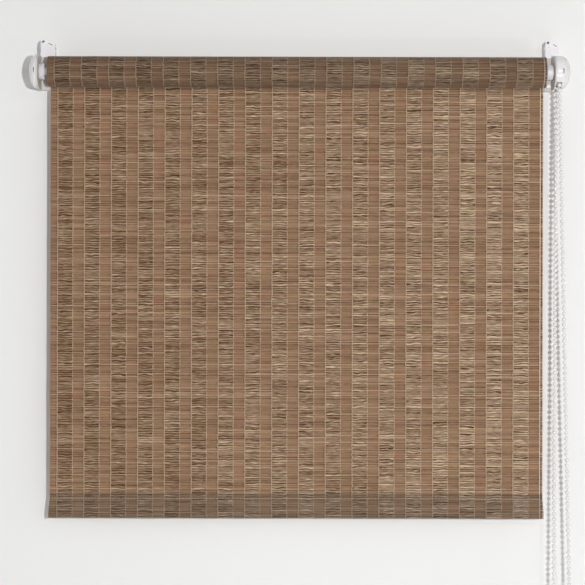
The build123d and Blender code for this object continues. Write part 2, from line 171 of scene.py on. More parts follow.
def boxShape(low, high):
    points = [(x, y, z) for z in (low[2], high[2]) for y in (low[1], high[1]) for x in (low[0], high[0])]
    return points, [(0, 1, 3, 2), (4, 6, 7, 5), (0, 4, 5, 1), (2, 3, 7, 6), (0, 2, 6, 4), (1, 5, 7, 3)]


def plateShape(outline, front, back):
    # an outline of (x, z) carried from front to back along Y
    count = len(outline)
    points = [(x, y, z) for y in (front, back) for x, z in outline]
    faces = [tuple(range(count)), tuple(range(2 * count - 1, count - 1, -1))]
    faces += [(k, (k + 1) % count, count + (k + 1) % count, count + k) for k in range(count)]
    return points, faces


def roundOutline(x, z, radius, count=28):
    turns = [2 * math.pi * k / count for k in range(count)]
    return [(x + radius * math.cos(turn), z + radius * math.sin(turn)) for turn in turns]


def softenEdges(piece, width, angle=40):
    bevel = piece.modifiers.new("softEdges", "BEVEL")
    bevel.width = width * mm
    bevel.segments = 2
    bevel.limit_method = "ANGLE"
    bevel.angle_limit = math.radians(angle)
    level = piece.modifiers.new("evenShade", "WEIGHTED_NORMAL")
    level.keep_sharp = True
    level.weight = 80


# small helpers for shader nodes
def feed(tree, socket, value):
    if isinstance(value, bpy.types.NodeSocket):
        tree.links.new(value, socket)
    else:
        socket.default_value = value


def calc(tree, operation, first, second=0.0):
    node = tree.nodes.new("ShaderNodeMath")
    node.operation = operation
    feed(tree, node.inputs[0], first)
    feed(tree, node.inputs[1], second)
    return node.outputs[0]


def spread(tree, value, low, high, newLow=0.0, newHigh=1.0, smooth=False):
    node = tree.nodes.new("ShaderNodeMapRange")
    node.interpolation_type = "SMOOTHSTEP" if smooth else "LINEAR"
    for socket, part in zip(node.inputs, (value, low, high, newLow, newHigh)):
        feed(tree, socket, part)
    return node.outputs[0]


def mixColor(tree, factor, first, second, mode="MIX"):
    node = tree.nodes.new("ShaderNodeMix")
    node.data_type = "RGBA"
    node.blend_type = mode
    feed(tree, node.inputs[0], factor)
    feed(tree, node.inputs[6], first)
    feed(tree, node.inputs[7], second)
    return node.outputs[2]


def joinXyz(tree, x=0.0, y=0.0, z=0.0):
    node = tree.nodes.new("ShaderNodeCombineXYZ")
    for socket, value in zip(node.inputs, (x, y, z)):
        feed(tree, socket, value)
    return node.outputs[0]


def grainNoise(tree, place, scale=1.0, detail=2.0, onLine=False):
    # noise over a place, or along a line where the place is one number
    node = tree.nodes.new("ShaderNodeTexNoise")
    node.noise_dimensions = "1D" if onLine else "3D"
    feed(tree, node.inputs["W" if onLine else "Vector"], place)
    node.inputs["Scale"].default_value = scale
    node.inputs["Detail"].default_value = detail
    return node.outputs[0]


def chance(tree, x, y, z=0.0):
    # three even random values for each whole place
    node = tree.nodes.new("ShaderNodeTexWhiteNoise")
    node.noise_dimensions = "3D"
    feed(tree, node.inputs["Vector"], joinXyz(tree, x, y, z))
    parts = tree.nodes.new("ShaderNodeSeparateColor")
    tree.links.new(node.outputs["Color"], parts.inputs[0])
    return parts.outputs


def colorSteps(tree, value, stops):
    node = tree.nodes.new("ShaderNodeValToRGB")
    ramp = node.color_ramp
    while len(ramp.elements) < len(stops):
        ramp.elements.new(0.5)
    for element, (place, color) in zip(ramp.elements, stops):
        element.position = place
        element.color = color
    feed(tree, node.inputs[0], value)
    return node.outputs[0]


def startGroup(name, inputs, outputs):
    tree = bpy.data.node_groups.new(name, "ShaderNodeTree")
    for label, kind, value in inputs:
        socket = tree.interface.new_socket(label, in_out="INPUT", socket_type=kind)
        if value is not None:
            socket.default_value = value
    for label, kind in outputs:
        tree.interface.new_socket(label, in_out="OUTPUT", socket_type=kind)
    return tree, tree.nodes.new("NodeGroupInput").outputs, tree.nodes.new("NodeGroupOutput").inputs


def placeGroup(tree, group, **values):
    node = tree.nodes.new("ShaderNodeGroup")
    node.node_tree = group
    for label, value in values.items():
        feed(tree, node.inputs[label], value)
    return node.outputs


def startMaterial(name, **sockets):
    # a word's underscore stands for the space in the shader's own label
    material = bpy.data.materials.new(name)
    material.use_nodes = True
    tree = material.node_tree
    shader = tree.nodes["Principled BSDF"]
    for label, value in sockets.items():
        shader.inputs[label.replace("_", " ")].default_value = value
    return material, tree, shader.inputs


def addBump(tree, shaderInputs, height, strength, distance):
    node = tree.nodes.new("ShaderNodeBump")
    node.inputs["Strength"].default_value = strength
    node.inputs["Distance"].default_value = distance
    tree.links.new(height, node.inputs["Height"])
    tree.links.new(node.outputs["Normal"], shaderInputs["Normal"])


def objectPlace(tree):
    return tree.nodes.new("ShaderNodeTexCoord").outputs["Object"]


# the woven reed cloth, shared by the sheet, the roll and the hem, with lengths in mm
reedCloth = {
    "repeat": 29.94,  # one open band and one close band
    "openWidth": 17.0,
    "firstBand": 8.0,
    "fullWidth": 550.0,
    "reedPitch": 1.31,
    "reedLength": 10.0,
    "warpGrain": 1.9,  # per mm
    # how coarse each slow change is, per mm along and down the cloth
    "clouds": {"wander": (0.03, 0.2), "sway": (0.045, 0.11), "slant": (0.09, 0.2), "patch": (0.06, 0.35),
               "cast": (0.045, 0.05), "pink": (0.04, 0.08)},
    "bandWander": 0.35,  # how far a band's edge strays
    "rowSway": 0.25,  # how far a reed bends on its way across
    "openSlant": 0.6,  # and how much more in an open band
    "slitPower": 3.7,  # the higher, the fewer dark slits
    "slitHeight": (1.6, 0.75),  # in rows, at the front reeds and the deep ones
    "slitTaper": (0.15, 1.15),
    # how strongly the slits take the painted gap shade, in the open and the close bands
    "slitShade": {"open": 0.95, "close": 0.42},
    "openShares": {"inBand": 0.34, "lengthwise": 0.32, "across": 0.08, "pair": 0.29},
    "openRange": (0.18, 0.88),
    "paintedSideLight": (-0.16, 0.14),  # painted light: added at the left and the right edge, darker at the left and lighter at the right, as the light falls from the right
    "closeShares": {"inBand": 0.4, "across": 0.28, "pair": 0.22},
    "patchTones": (-0.01, 0.11),
    "warpTones": (-0.05, 0.05),
    "reedColors": [(0.0, paint(101, 72, 45)), (0.22, paint(125, 98, 73)), (0.47, paint(147, 122, 99)),
                   (0.76, paint(169, 146, 122)), (1.0, paint(205, 181, 154))],
    "closeColors": [(0.0, paint(103, 76, 56)), (0.38, paint(137, 108, 84)), (0.68, paint(155, 124, 99)),
                    (1.0, paint(186, 156, 129))],
    # painted shade of the gaps between reeds, and the colour of the real dark stitches and selvedge dots
    "darkThreadAndGapShade": paint(74, 44, 21),
    "threadColor": paint(190, 166, 141),
    "edgeColor": paint(222, 198, 177),
    "pinkCast": (1.0, 0.92, 0.96, 1.0),
    "oliveCast": (0.94, 0.97, 0.86, 1.0),
    "amberCast": (1.0, 0.91, 0.82, 1.0),
    "stitchInset": 1.35,  # dark stitches before each open band
    "selvedge": {"dotInset": 1.75, "dotPitch": 3.3, "threadInset": 3.25, "threadPale": 0.8},
    "turnRadius": 0.0171,  # metres, where the cloth is read round the roll
    "bump": {"strength": 0.5, "distance": 0.0004},
}


def buildReedWeave():
    # Along and Drop are metres from the cloth's left edge and down its warp
    tree, given, made = startGroup(
        "reedWeave",
        [("Along", "NodeSocketFloat", 0.0), ("Drop", "NodeSocketFloat", 0.0)],
        [("Color", "NodeSocketColor"), ("Height", "NodeSocketFloat")],
    )
    look = reedCloth
    ramp = partial(spread, tree)
    plus, minus, times, over, highest = [
        partial(calc, tree, operation) for operation in ("ADD", "SUBTRACT", "MULTIPLY", "DIVIDE", "MAXIMUM")]
    whole, size = partial(calc, tree, "FLOOR"), partial(calc, tree, "ABSOLUTE")

    def near(value, place, core, fade, top=1.0):
        # a soft-edged line round one place
        return ramp(size(minus(value, place)), core, fade, top, 0.0, smooth=True)

    def fit(value, low, high):
        # from 0 and 1 to a new range
        return ramp(value, 0.0, 1.0, low, high)

    def cloud(name, fromAlong=0.0, layer=0.0, detail=2.0):
        # a slow change over the cloth
        alongGrain, dropGrain = look["clouds"][name]
        place = joinXyz(tree, plus(times(along, alongGrain), fromAlong), times(drop, dropGrain), layer)
        return grainNoise(tree, place, 1.0, detail)

    def cover(color, factor, name):
        # a plain colour goes over the cloth, and a cast tints it
        return mixColor(tree, factor, color, look[name], "MULTIPLY" if name.endswith("Cast") else "MIX")

    along = times(given["Along"], 1000.0)
    drop = times(given["Drop"], 1000.0)

    # which band a point is in, with edges that wander a little down the cloth
    wander = ramp(cloud("wander"), 0.3, 0.7, -look["bandWander"], look["bandWander"])
    placed = plus(minus(along, look["firstBand"]), wander)
    band = whole(over(placed, look["repeat"]))
    inRepeat = minus(placed, times(band, look["repeat"]))
    opensAt = ramp(inRepeat, 0.2, 0.7, smooth=True)
    closesAt = ramp(inRepeat, look["openWidth"] - 0.6, look["openWidth"] + 0.1, 1.0, 0.0, smooth=True)
    openBand = times(opensAt, closesAt)

    # each reed is one row right across the cloth, and slants and bends a little
    sway = ramp(cloud("sway"), 0.25, 0.75, -look["rowSway"], look["rowSway"])
    slant = cloud("slant", fromAlong=times(band, 7.3), layer=4.7, detail=1.0)
    slant = times(openBand, ramp(slant, 0.3, 0.7, -look["openSlant"], look["openSlant"]))
    rowPlace = over(plus(drop, plus(sway, slant)), look["reedPitch"])
    row = whole(rowPlace)
    inRow = minus(rowPlace, row)
    bandRow = chance(tree, row, band, 3.0)
    wholeRow = chance(tree, row, 7.0, 11.0)
    pairRow = times(calc(tree, "FRACT", times(row, 0.5)), 2.0)  # every second reed lies deeper
    lineAlong = plus(over(along, look["reedLength"]), times(band, 5.37))
    lineDown = plus(times(row, 3.71), 0.37)
    lengthwise = ramp(grainNoise(tree, joinXyz(tree, lineAlong, lineDown), 1.0, 1.0), 0.3, 0.7)
    taperPlace = joinXyz(tree, times(lineAlong, 1.25), plus(lineDown, 41.3))
    taper = ramp(grainNoise(tree, taperPlace, 1.0, 1.0), 0.33, 0.67)

    # dark slits between some reeds, thin towards their ends: painted shade in the gaps between the reeds
    slit = highest(bandRow[1], times(wholeRow[1], 0.88))
    slit = calc(tree, "POWER", slit, look["slitPower"])
    slit = times(times(slit, fit(pairRow, *look["slitHeight"])), fit(taper, *look["slitTaper"]))
    slitMask = ramp(inRow, minus(slit, 0.1), plus(slit, 0.03), 1.0, 0.0)

    # loose reeds of the open bands
    share = look["openShares"]
    openTone = plus(times(bandRow[0], share["inBand"]), times(lengthwise, share["lengthwise"]))
    openTone = plus(openTone, times(wholeRow[0], share["across"]))
    openTone = ramp(plus(openTone, times(pairRow, share["pair"])), *look["openRange"])
    # painted light and shade across the open bands, darker at the left and lighter at the right
    openTone = plus(openTone, ramp(along, 0.0, look["fullWidth"], *look["paintedSideLight"]))
    openColor = colorSteps(tree, openTone, look["reedColors"])
    openColor = cover(openColor, ramp(bandRow[2], 0.34, 0.0, 0.0, 1.0), "pinkCast")
    openColor = cover(openColor, ramp(bandRow[2], 0.66, 1.0, 0.0, 0.9), "oliveCast")
    openColor = cover(openColor, times(slitMask, look["slitShade"]["open"]), "darkThreadAndGapShade")

    # close bands: the same reeds covered by fine warps
    share = look["closeShares"]
    warps = grainNoise(tree, times(along, look["warpGrain"]), 1.0, 1.0, onLine=True)
    closeTone = plus(times(wholeRow[0], share["across"]), times(bandRow[0], share["inBand"]))
    closeTone = plus(closeTone, times(pairRow, share["pair"]))
    closeTone = plus(closeTone, ramp(cloud("patch"), 0.3, 0.7, *look["patchTones"]))
    closeTone = plus(closeTone, ramp(warps, 0.3, 0.7, *look["warpTones"]))
    closeColor = colorSteps(tree, closeTone, look["closeColors"])
    cast = cloud("cast")
    closeColor = cover(closeColor, ramp(cast, 0.5, 0.66, 0.0, 0.75), "amberCast")
    closeColor = cover(closeColor, ramp(cast, 0.5, 0.36, 0.0, 0.7), "oliveCast")
    closeColor = cover(closeColor, ramp(cloud("pink", fromAlong=9.1), 0.5, 0.68, 0.0, 0.9), "pinkCast")
    # the same painted shade in the slits of the close bands
    closeColor = cover(closeColor, times(slitMask, look["slitShade"]["close"]), "darkThreadAndGapShade")
    color = mixColor(tree, openBand, closeColor, openColor)

    # pale warp lines at the borders, and dark stitches beside them
    fromBorder = calc(tree, "MINIMUM", inRepeat, minus(look["repeat"], inRepeat))
    startLine = times(ramp(fromBorder, 0.2, 0.68, 1.0, 0.0, smooth=True), fit(wholeRow[2], 0.5, 1.0))
    endLine = times(near(inRepeat, look["openWidth"], 0.2, 0.75), fit(bandRow[2], 0.1, 1.0))
    warpLine = highest(startLine, endLine)
    darkStitch = near(inRepeat, look["repeat"] - look["stitchInset"], 0.15, 0.6)
    color = cover(color, times(darkStitch, ramp(bandRow[1], 0.5, 0.75, 0.0, 0.55)), "darkThreadAndGapShade")
    color = cover(color, warpLine, "threadColor")

    # selvedge on the right: a pale thread, a dark dotted line and a pale edge
    rim = look["selvedge"]
    fromEdge = minus(look["fullWidth"], along)
    dotPlace = over(drop, rim["dotPitch"])
    dotDark = fit(chance(tree, whole(dotPlace), 2.0, 5.0)[0], 0.75, 1.0)
    dotShape = ramp(size(minus(calc(tree, "FRACT", dotPlace), 0.5)), 0.2, 0.32, 1.0, 0.12)
    dotLine = times(near(fromEdge, rim["dotInset"], 0.55, 0.95), times(dotShape, dotDark))
    innerThread = near(fromEdge, rim["threadInset"], 0.4, 0.85, rim["threadPale"])
    edgeThread = highest(innerThread, near(fromEdge, 0.0, 0.55, 1.0, rim["threadPale"]))
    color = cover(color, dotLine, "darkThreadAndGapShade")
    color = cover(color, times(edgeThread, fit(bandRow[0], 0.45, 1.0)), "edgeColor")
    feed(tree, made["Color"], color)

    # round reeds in the open bands, flatter ones under the warps
    halfRow = minus(times(inRow, 2.0), 1.0)
    roundRow = minus(1.0, times(halfRow, halfRow))
    openHeight = times(times(roundRow, fit(bandRow[0], 0.35, 0.85)), minus(1.0, slitMask))
    closeHeight = plus(plus(0.4, times(roundRow, 0.3)), times(warps, 0.2))
    height = fit(openBand, closeHeight, openHeight)
    feed(tree, made["Height"], plus(height, times(highest(warpLine, edgeThread), 0.5)))
    return tree


reedWeave = buildReedWeave()
# the roll and the hem are darker copies of the sheet's cloth: paintedShade is painted shade, for the light from behind
# that shines through the hanging sheet but not through them
clothFinishes = {
    "sheetCloth": {"paintedShade": (1.0, 1.0, 1.0)},
    "rollCloth": {"paintedShade": (0.62, 0.63, 0.64), "onRoll": True},
    "hemCloth": {"paintedShade": (0.675, 0.71, 0.755), "calm": 0.12},  # calm evens the weave out
}
calmColor = paint(138, 112, 88)


def makeCloth(name, paintedShade, calm=0.0, onRoll=False):
    # the sheet and hem are read flat, and the roll round its axis
    material, tree, shader = startMaterial(name, Roughness=0.8, Specular_IOR_Level=0.22, Sheen_Weight=0.08,
                                           Sheen_Roughness=0.5)
    parts = tree.nodes.new("ShaderNodeSeparateXYZ")
    tree.links.new(objectPlace(tree), parts.inputs[0])
    along = calc(tree, "ADD", parts.outputs[0], reedCloth["fullWidth"] / 2 * mm)
    if onRoll:
        fromAxis = [calc(tree, "SUBTRACT", parts.outputs[k], centre) for k, centre in ((1, axisY), (2, axisZ))]
        drop = calc(tree, "MULTIPLY", calc(tree, "ARCTAN2", *fromAxis), reedCloth["turnRadius"])
    else:
        drop = calc(tree, "MULTIPLY", parts.outputs[2], -1.0)
    weave = placeGroup(tree, reedWeave, Along=along, Drop=drop)
    color = mixColor(tree, calm, weave["Color"], calmColor)
    # multiplying by paintedShade paints the shade of the roll and the hem into their colour
    feed(tree, shader["Base Color"], mixColor(tree, 1.0, color, (*paintedShade, 1.0), "MULTIPLY"))
    addBump(tree, shader, weave["Height"], **reedCloth["bump"])
    return material


cloth = {name: makeCloth(name, **values) for name, values in clothFinishes.items()}
print("cloth materials made")


# smooth moulded plastic and metal: gloss is the roughness, soil the share of mottling, size the grain per metre
smoothFinishes = {
    "whitePlastic": {"color": paint(233, 231, 232), "gloss": 0.1, "bump": 0.03, "Coat_Weight": 0.2,
                     "Coat_Roughness": 0.05},
    "mattPlastic": {"color": paint(214, 209, 205), "gloss": 0.55, "soil": 0.1, "Specular_IOR_Level": 0.2},
    "hubPlastic": {"color": paint(228, 225, 229), "gloss": 0.18, "Coat_Weight": 0.4, "Coat_Roughness": 0.08},
    "hookPaint": {"color": paint(240, 238, 242), "gloss": 0.5, "soil": 0.08, "size": 90.0, "bump": 0.08},
    "chainPlastic": {"color": paint(234, 232, 231), "gloss": 0.16, "soil": 0.04, "size": 120.0, "bump": 0.02,
                     "Coat_Weight": 0.5, "Coat_Roughness": 0.06},
    "cordThread": {"color": paint(222, 219, 214), "gloss": 0.6, "soil": 0.1, "size": 300.0, "bump": 0.2},
    "stitchThread": {"color": paint(186, 162, 136), "gloss": 0.75, "soil": 0.3, "size": 900.0, "bump": 0.3},
    "clearPlastic": {"color": paint(228, 230, 230), "gloss": 0.2, "soil": 0.05, "size": 80.0, "bump": 0.04,
                     "Transmission_Weight": 0.35, "IOR": 1.49},
    # tubeMetal is darker than bare aluminium: a painted dark reflection for the tube's end, which lies in a shaded gap
    "tubeMetal": {"color": paint(158, 156, 154), "gloss": 0.3, "soil": 0.1, "size": 70.0, "Metallic": 1.0},
    "barMetal": {"color": paint(205, 205, 206), "gloss": 0.38, "soil": 0.1, "size": 70.0, "Metallic": 1.0},
    "screwMetal": {"color": paint(184, 185, 188), "gloss": 0.5, "soil": 0.2, "size": 300.0, "bump": 0.1,
                   "Metallic": 1.0},
    # pinMetal also colours the dark strip in the hooks' slots, a painted shade
    "pinMetal": {"color": paint(104, 104, 106), "gloss": 0.5, "soil": 0.3, "size": 300.0, "bump": 0.1,
                 "Metallic": 1.0},
    "springMetal": {"color": paint(150, 150, 152), "gloss": 0.35, "soil": 0.2, "size": 200.0, "bump": 0.1,
                    "Metallic": 1.0},
    "padRubber": {"color": paint(214, 212, 209), "gloss": 0.75, "soil": 0.1, "size": 200.0, "bump": 0.2},
}
soilColor = paint(150, 146, 138)


def buildMouldedSkin():
    # faint mottling and handling marks of smooth parts
    tree, given, made = startGroup(
        "mouldedSkin",
        [("Vector", "NodeSocketVector", None), ("Base", "NodeSocketColor", (0.8, 0.8, 0.8, 1)),
         ("Soil", "NodeSocketFloat", 0.06), ("Gloss", "NodeSocketFloat", 0.3), ("Size", "NodeSocketFloat", 60.0)],
        [("Color", "NodeSocketColor"), ("Roughness", "NodeSocketFloat"), ("Height", "NodeSocketFloat")],
    )
    scaled = tree.nodes.new("ShaderNodeVectorMath")
    scaled.operation = "SCALE"
    tree.links.new(given["Vector"], scaled.inputs[0])
    tree.links.new(given["Size"], scaled.inputs["Scale"])
    broad = grainNoise(tree, scaled.outputs[0], 1.0, 3.0)
    fine = grainNoise(tree, scaled.outputs[0], 14.0, 2.0)
    soilShare = calc(tree, "MULTIPLY", spread(tree, broad, 0.45, 0.75), given["Soil"])
    feed(tree, made["Color"], mixColor(tree, soilShare, given["Base"], soilColor))
    rough = calc(tree, "ADD", given["Gloss"], spread(tree, broad, 0.3, 0.7, -0.05, 0.08))
    feed(tree, made["Roughness"], calc(tree, "ADD", rough, spread(tree, fine, 0.3, 0.7, -0.02, 0.02)))
    feed(tree, made["Height"], calc(tree, "ADD", calc(tree, "MULTIPLY", fine, 0.3), broad))
    return tree


mouldedSkin = buildMouldedSkin()


def makeSmooth(name, color, gloss, soil=0.06, size=60.0, bump=0.05, **sockets):
    material, tree, shader = startMaterial(name, **sockets)
    skin = placeGroup(tree, mouldedSkin, Vector=objectPlace(tree), Base=color, Soil=soil, Gloss=gloss, Size=size)
    feed(tree, shader["Base Color"], skin["Color"])
    feed(tree, shader["Roughness"], skin["Roughness"])
    addBump(tree, shader, skin["Height"], bump, 0.0005)
    return material


finish = {name: makeSmooth(name, **values) for name, values in smoothFinishes.items()}
print("plastic and metal materials made")


# camera at the photograph's angle
cameraView = {
    "place": (-0.0046, -1.9780, -0.2724),
    "tiltDegrees": -0.14,  # roll of the picture
    "widthDegrees": 18.785,
    "sensorWidth": 36,
    "clip": (0.05, 50),
}
cameraData = bpy.data.cameras.new("photoCamera")
cameraData.sensor_width = cameraView["sensorWidth"]
cameraData.lens = cameraView["sensorWidth"] / 2 / math.tan(math.radians(cameraView["widthDegrees"] / 2))
cameraData.clip_start, cameraData.clip_end = cameraView["clip"]
camera = bpy.data.objects.new("photoCamera", cameraData)
bpy.context.scene.collection.objects.link(camera)
camera.location = cameraView["place"]
camera.rotation_mode = "QUATERNION"
level = Vector((0, 1, 0)).to_track_quat("-Z", "Y")
tilt = Matrix.Rotation(math.radians(cameraView["tiltDegrees"]), 4, "Y")
camera.rotation_quaternion = (tilt @ level.to_matrix().to_4x4()).to_quaternion()
bpy.context.scene.camera = camera
print("camera placed")


# bead chain: a closed loop from the wheel, down the back, round and up the front
beadChain = {
    "beadSize": 4.5,
    "beadCount": 213,
    "stringSize": 1.1,
    "stringFrom": 0.33,  # share of the pitch between a bead's middle and its string
    "stringSides": 6,
    "wheelRadius": 11.459,  # pitch circle of the wheel
    "wheelX": 288.5,
    "backX": 285.0,
    "frontX": 303.0,
    "bendZ": -634.5,
    "sides": 16,
    "rings": 9,
}


def chainRoute():
    look = beadChain
    y0, z0 = axisY / mm, axisZ / mm
    reach = look["wheelRadius"]
    corner = reach * math.tan(math.radians(22.5))
    bend = (look["frontX"] - look["backX"]) / 2
    bendCorner = bend * math.tan(math.radians(22.5))
    middle = (look["frontX"] + look["backX"]) / 2
    wheelX, low = look["wheelX"], look["bendZ"]
    return [
        (wheelX, y0, z0 + reach),
        (wheelX, y0 + corner, z0 + reach),
        (wheelX, y0 + reach, z0 + corner),
        (wheelX, y0 + reach, z0 - corner),
        (look["backX"], y0, low + bendCorner),
        (look["backX"], y0, low - bendCorner),
        (middle - bendCorner, y0, low - bend),
        (middle + bendCorner, y0, low - bend),
        (look["frontX"], y0, low - bendCorner),
        (look["frontX"], y0, low + bendCorner),
        (wheelX, y0 - reach, z0 - corner),
        (wheelX, y0 - reach, z0 + corner),
        (wheelX, y0 - corner, z0 + reach),
        (wheelX, y0, z0 + reach),
    ]


def readSpline(name, route):
    # the points of a smooth NURBS line through the route's control points
    curve = bpy.data.curves.new(name, "CURVE")
    curve.dimensions = "3D"
    curve.resolution_u = 48
    spline = curve.splines.new("NURBS")
    spline.points.add(len(route) - 1)
    for point, place in zip(spline.points, inMetres(route)):
        point.co = (*place, 1)
    spline.order_u = 3
    spline.use_endpoint_u = True
    holder = bpy.data.objects.new(name, curve)
    bpy.context.scene.collection.objects.link(holder)
    mesh = readMesh(holder)
    line = [vertex.co.copy() for vertex in mesh.vertices]
    bpy.data.objects.remove(holder)
    bpy.data.curves.remove(curve)
    bpy.data.meshes.remove(mesh)
    return line


def placeOnLine(line, total, distance):
    # the point at a distance along a line, and the way that the line runs there
    k = between(bisect_right(total, distance) - 1, 0, len(line) - 2)
    first, second = line[k], line[k + 1]
    share = (distance - total[k]) / max(total[k + 1] - total[k], 1e-9)
    return first.lerp(second, between(share, 0, 1)), (second - first).normalized()


def ringAcross(centre, forward, radius, sides):
    # points of a ring that stands across a line
    across = forward.orthogonal().normalized()
    beside = forward.cross(across)
    turns = [2 * math.pi * side / sides for side in range(sides)]
    return [centre + (across * math.cos(turn) + beside * math.sin(turn)) * radius for turn in turns]


def buildChain():
    look = beadChain
    line = readSpline("chainLine", chainRoute())
    total = [0.0, *accumulate((second - first).length for first, second in zip(line, line[1:]))]
    pitch = total[-1] / look["beadCount"]
    radius, thin = look["beadSize"] / 2 * mm, look["stringSize"] / 2 * mm
    sides, rings, stringSides = look["sides"], look["rings"], look["stringSides"]
    points, faces, stringPoints, stringFaces = [], [], [], []
    for bead in range(look["beadCount"]):
        centre, forward = placeOnLine(line, total, (bead + 0.5) * pitch)
        base = len(points)
        points.append(centre - forward * radius)
        for ring in range(1, rings):
            polar = math.pi * ring / rings
            middle = centre - forward * (radius * math.cos(polar))
            points += ringAcross(middle, forward, radius * math.sin(polar), sides)
        points.append(centre + forward * radius)
        faces += ringsToFaces(base + 1, rings - 1, sides)
        last = base + 1 + (rings - 2) * sides
        for side in range(sides):
            after = (side + 1) % sides
            faces += [(base, base + 1 + after, base + 1 + side), (last + side, last + after, len(points) - 1)]
        # the string to the next bead
        base = len(stringPoints)
        for share in (0.5 + look["stringFrom"], 1.5 - look["stringFrom"]):
            centre, forward = placeOnLine(line, total, min((bead + share) * pitch, total[-1]))
            stringPoints += ringAcross(centre, forward, thin, stringSides)
        stringFaces += ringsToFaces(base, 2, stringSides)
    beads = makePiece("beadChain", points, faces, finish["chainPlastic"], sharpAngle=180)
    string = makePiece("chainString", stringPoints, stringFaces, finish["cordThread"], sharpAngle=180)
    return beads, string, line, total[-1]


beads, chainString, chainLine, chainLength = buildChain()
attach(beads, "brackets")
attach(chainString, "brackets")
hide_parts("bead_chain")
print("bead chain made, spline length", round(chainLength, 4))


# hanging sheet
hangingSheet = {
    "thickness": 0.7,
    "lineWidth": 0.9,
    "lineHeight": 0.15,
    "hemLap": 1.5,  # how far the sheet goes into the hem
    "rowStep": 6.0,
    "leanHeight": 18.0,  # over which the sheet leans onto the roll
    "leanRows": 6,
    "wrapDegrees": 26,
    "wrapRows": 8,
    "wrapThinning": 0.85,
    "rollGap": 0.02,
    "sway": 0.7,
    "edgeWave": 0.25,
}


def clothColumns():
    # places across the cloth, with how far each stands proud as a share of a warp line's height
    look = reedCloth
    side, half = look["fullWidth"] / 2, hangingSheet["lineWidth"] / 2
    columns = [(-side, 0.0)]
    start = look["firstBand"] - side
    while start < side:
        for place in (start, start + look["openWidth"]):
            if place + half < side - 0.4:
                columns += [((columns[-1][0] + place - half) / 2, 0.0), (place - half, 0.0), (place - half * 0.5, 1.0),
                            (place + half * 0.5, 1.0), (place + half, 0.0)]
        start += look["repeat"]
    return columns + [(side - 1.1, 0.0), (side - 0.8, 1.0), (side - 0.2, 1.0), (side, 0.2)]


def sheetRows():
    # rows up the sheet as (y, z, outward y, outward z, half thickness)
    look = hangingSheet
    y0, z0 = axisY / mm, axisZ / mm
    half = look["thickness"] / 2
    sheetY, bottom, leanFrom = sheetMiddle / mm, hemHigh.z / mm - look["hemLap"], z0 - look["leanHeight"]
    touchY = y0 + rollRadius + half + look["rollGap"] / 2
    count = int((leanFrom - bottom) / look["rowStep"])
    rows = [(sheetY, bottom + (leanFrom - bottom) * k / count, 1.0, 0.0, half) for k in range(count + 1)]
    for k in range(1, look["leanRows"] + 1):
        share = k / look["leanRows"]
        ease = share * share * (3 - 2 * share)
        rows.append((sheetY + (touchY - sheetY) * ease, leanFrom + look["leanHeight"] * share, 1.0, 0.0, half))
    for k in range(1, look["wrapRows"] + 1):
        share = k / look["wrapRows"]
        turn = math.radians(look["wrapDegrees"] * share)
        thin = half * (1 - look["wrapThinning"] * share)
        reach = rollRadius + thin + look["rollGap"]
        rows.append((y0 + reach * math.cos(turn), z0 + reach * math.sin(turn), math.cos(turn), math.sin(turn), thin))
    return rows


def buildSheet():
    look = hangingSheet
    rows, columns = sheetRows(), clothColumns()
    top, bottom = axisZ / mm - 30, rows[0][1] + 10  # the cloth sways only between these
    points = []
    for side in (1, -1):
        for y, z, outY, outZ, half in rows:
            hang = between((top - z) / 80, 0, 1) * between((z - bottom) / 80, 0, 1)
            for x, proud in columns:
                sway = noise.noise(Vector((x * 0.006, 3.1, z * 0.004))) * look["sway"] * hang
                edge = noise.noise(Vector((x * 0.05, 9.2, z * 0.03))) * look["edgeWave"] * hang if abs(x) > 274 else 0
                reach = side * (half + proud * look["lineHeight"] * min(half * 2 / look["thickness"], 1))
                points.append((x + edge, y + sway + reach * outY, z + reach * outZ))
    wide, tall = len(columns), len(rows)
    back = wide * tall
    faces = gridToFaces(0, wide, tall) + gridToFaces(back, wide, tall)
    for row in range(tall - 1):
        for a in (row * wide, row * wide + wide - 1):
            faces.append((a, a + wide, back + a + wide, back + a))
    for column in range(wide - 1):
        for a in (column, (tall - 1) * wide + column):
            faces.append((a, a + 1, back + a + 1, back + a))
    return makePiece("hangingSheet", inMetres(points), faces, cloth["sheetCloth"], sharpAngle=50)


sheet = buildSheet()
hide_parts("fabric_sheet")
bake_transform(sheet)
print("hanging sheet made")


# wound cloth on the roller
woundRoll = {
    "steps": 128,
    "turnThickness": 0.72,
    "ringsPerTurn": 5,
    "lineHeight": 0.12,
    "edgeLift": 0.32,  # how far each turn's edge stands out
    "edgeRough": 0.2,
    "edgeInset": 0.25,
}


def buildRoll():
    look = woundRoll
    steps, thick = look["steps"], look["turnThickness"]
    skin = rollRadius - look["lineHeight"]
    profile = [(x, skin + proud * look["lineHeight"]) for x, proud in clothColumns()]
    points, faces = turnOnRoller(profile, steps)
    # both ends show the turns of the winding as one spiral
    rings = int((skin - tubeRadius) / thick * look["ringsPerTurn"])
    count = len(profile)
    for end, side in ((0, -1), (count - 1, 1)):
        base = len(points)
        for step in range(steps):
            turn = 2 * math.pi * step / steps
            for ring in range(1, rings + 1):
                radius = skin - (skin - tubeRadius) * ring / rings
                wound = (rollRadius - radius) / thick + side * step / steps
                place = Vector((int(wound) * 3.7, math.cos(turn) * 3, math.sin(turn) * 3))
                lift = math.sin(math.pi * (wound % 1.0)) ** 0.5 * look["edgeLift"]
                lift += noise.noise(place) * look["edgeRough"]
                x, reach = profile[end][0] + side * (lift - look["edgeInset"]), radius * mm
                points.append((x * mm, axisY + reach * math.cos(turn), axisZ + reach * math.sin(turn)))
        for step in range(steps):
            after = (step + 1) % steps
            faces.append((step * count + end, after * count + end, base + after * rings, base + step * rings))
            here, there = base + step * rings, base + after * rings
            faces += [(here + k, there + k, there + k + 1, here + k + 1) for k in range(rings - 1)]
    return makePiece("woundRoll", points, faces, cloth["rollCloth"], sharpAngle=50)


roll = buildRoll()
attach(roll, "roller")
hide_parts("fabric_roll")
print("wound roll made")


